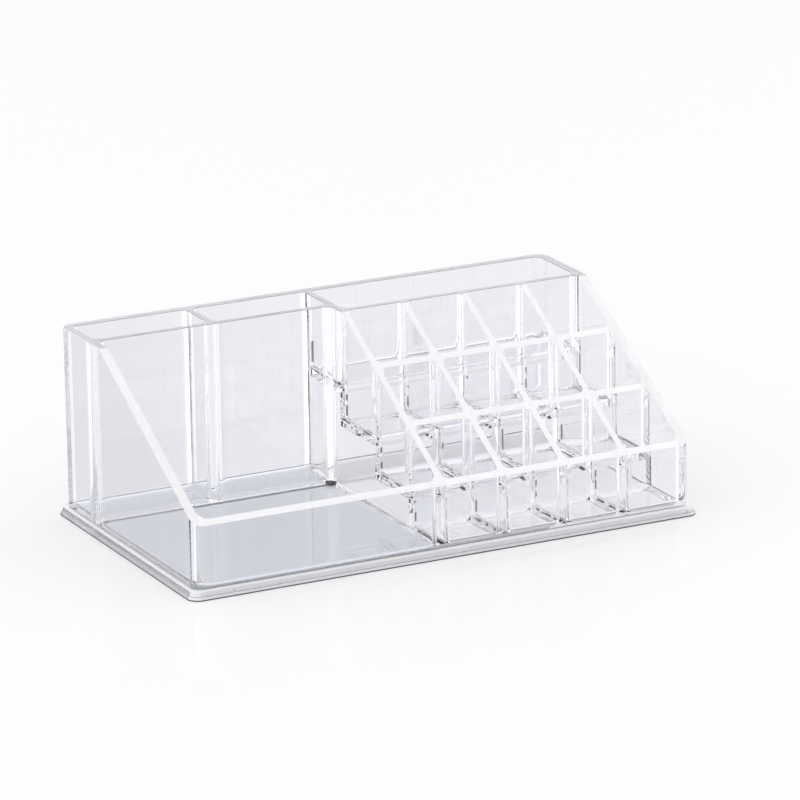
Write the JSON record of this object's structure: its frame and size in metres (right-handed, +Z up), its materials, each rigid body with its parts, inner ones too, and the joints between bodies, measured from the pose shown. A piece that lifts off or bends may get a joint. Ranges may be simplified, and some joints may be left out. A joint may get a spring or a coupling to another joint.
{
  "type": "vanity organizer",
  "caption": "Clear plastic vanity organizer with an open front tray, tall rear bays and stepped cells for lipsticks.",
  "frame": {"origin": "middle of the foot's underside, on the surface that the organizer stands on", "axes": "+X along the length, to the right as seen from the low front; +Y from the low front to the high back; +Z up"},
  "size_m": [0.2306, 0.1336, 0.081],
  "materials": {
    "clear_plastic": "clear, colourless, polished faces with a faint cool grey tint"
  },
  "bodies": {
    "root": {"base_plate": "clear_plastic", "back_wall": "clear_plastic", "front_wall": "clear_plastic", "left_wall": "clear_plastic", "right_wall": "clear_plastic", "left_partition": "clear_plastic", "right_partition": "clear_plastic", "rear_divider": "clear_plastic", "centre_divider": "clear_plastic", "column_divider_1": "clear_plastic", "column_divider_2": "clear_plastic", "column_divider_3": "clear_plastic", "front_cross_wall": "clear_plastic", "rear_cross_wall": "clear_plastic", "middle_row_floor": "clear_plastic", "rear_row_floor": "clear_plastic", "deep_bay_floor": "clear_plastic"}
  },
  "joints": []
}
